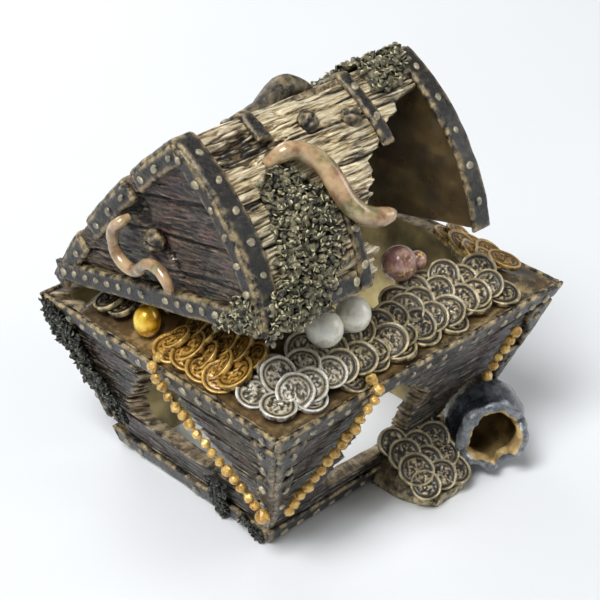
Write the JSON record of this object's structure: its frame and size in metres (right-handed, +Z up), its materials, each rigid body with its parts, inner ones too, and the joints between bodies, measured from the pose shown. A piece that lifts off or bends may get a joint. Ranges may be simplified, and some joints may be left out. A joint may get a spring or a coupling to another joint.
{
  "type": "aquarium bubbling ornament",
  "caption": "Broken sunken treasure chest aquarium ornament: a hinged lid ajar over an air stone, coin heap, pearls, beads, eels, moss and a broken jug.",
  "frame": {"origin": "middle of the chest's footprint, on the ground", "axes": "+X along the chest to the broken right end, -Y is the front, +Z up"},
  "size_m": [0.1654, 0.168, 0.1838],
  "materials": {
    "dark_planks": "dry-brushed resin",
    "lid_planks": "dry-brushed resin",
    "end_planks": "dry-brushed resin",
    "iron_bands": "satin paint",
    "iron_heads": "satin paint",
    "gold_paint": "metallic paint",
    "silver_paint": "metallic paint",
    "bronze_paint": "metallic paint",
    "treasure_bed": "matte paint",
    "white_pearl": "gloss",
    "pink_pearl": "gloss",
    "jug_glaze": "satin paint",
    "moss": "matte paint",
    "eel_skin": "satin paint",
    "air_stone": "matte",
    "clear_silicone": "satin",
    "white_plastic": "satin",
    "hinge_metal": "satin paint"
  },
  "bodies": {
    "base": {"front_wall": "dark_planks", "left_wall": "dark_planks", "right_wall": "dark_planks", "back_wall": "dark_planks", "treasure_bed": "treasure_bed", "rim_band_front": "iron_bands", "rim_band_left": "iron_bands", "rim_band_right": "iron_bands", "rim_band_back": "iron_bands", "foot_band_front": "iron_bands", "foot_band_left": "iron_bands", "foot_band_right": "iron_bands", "foot_band_back": "iron_bands", "corner_bracket_front_left": "iron_bands", "corner_bracket_front_right": "iron_bands", "corner_bracket_back_left": "iron_bands", "corner_bracket_back_right": "iron_bands", "base_rivets": "iron_heads", "gold_coins": "gold_paint", "silver_coins": "silver_paint", "bronze_coins": "bronze_paint", "spilled_coins": "bronze_paint", "spill_bed": "treasure_bed", "white_pearls": "white_pearl", "pink_pearls": "pink_pearl", "gold_pearl": "gold_paint", "bead_strand_left": "gold_paint", "bead_strand_front": "gold_paint", "bead_strand_right": "gold_paint", "broken_jug": "jug_glaze", "moss_back_corner": "moss", "moss_foot_corner": "moss", "air_stone": "air_stone", "air_stone_barb": "white_plastic", "air_line": "clear_silicone", "inlet_barb": "white_plastic", "hinge_leaf_base_left": "hinge_metal", "hinge_leaf_base_right": "hinge_metal", "hinge_pin_left": "hinge_metal", "hinge_pin_right": "hinge_metal"},
    "lid": {"hinge_leaf_lid_left": "hinge_metal", "hinge_leaf_lid_right": "hinge_metal", "lid_front": "lid_planks", "lid_back": "lid_planks", "lid_end_left": "end_planks", "lid_end_right": "end_planks", "lid_edge_band_left": "iron_bands", "lid_edge_band_right": "iron_bands", "lid_foot_band_front": "iron_bands", "lid_foot_band_left": "iron_bands", "lid_strap_left": "iron_bands", "lid_strap_middle": "iron_bands", "lid_rivets": "iron_heads", "lid_bolts": "iron_heads", "lid_nail_head": "iron_heads", "ridge_handle": "iron_bands", "large_eel": "eel_skin", "small_eel": "eel_skin", "moss_lid_front": "moss", "moss_ridge": "moss"}
  },
  "joints": [
    {"name": "lid_hinge", "type": "hinge", "parent": "base", "child": "lid", "pos_m": [0, 0.076, 0.08], "axis": [-1, 0, 0], "range_deg": [0, 24]}
  ]
}
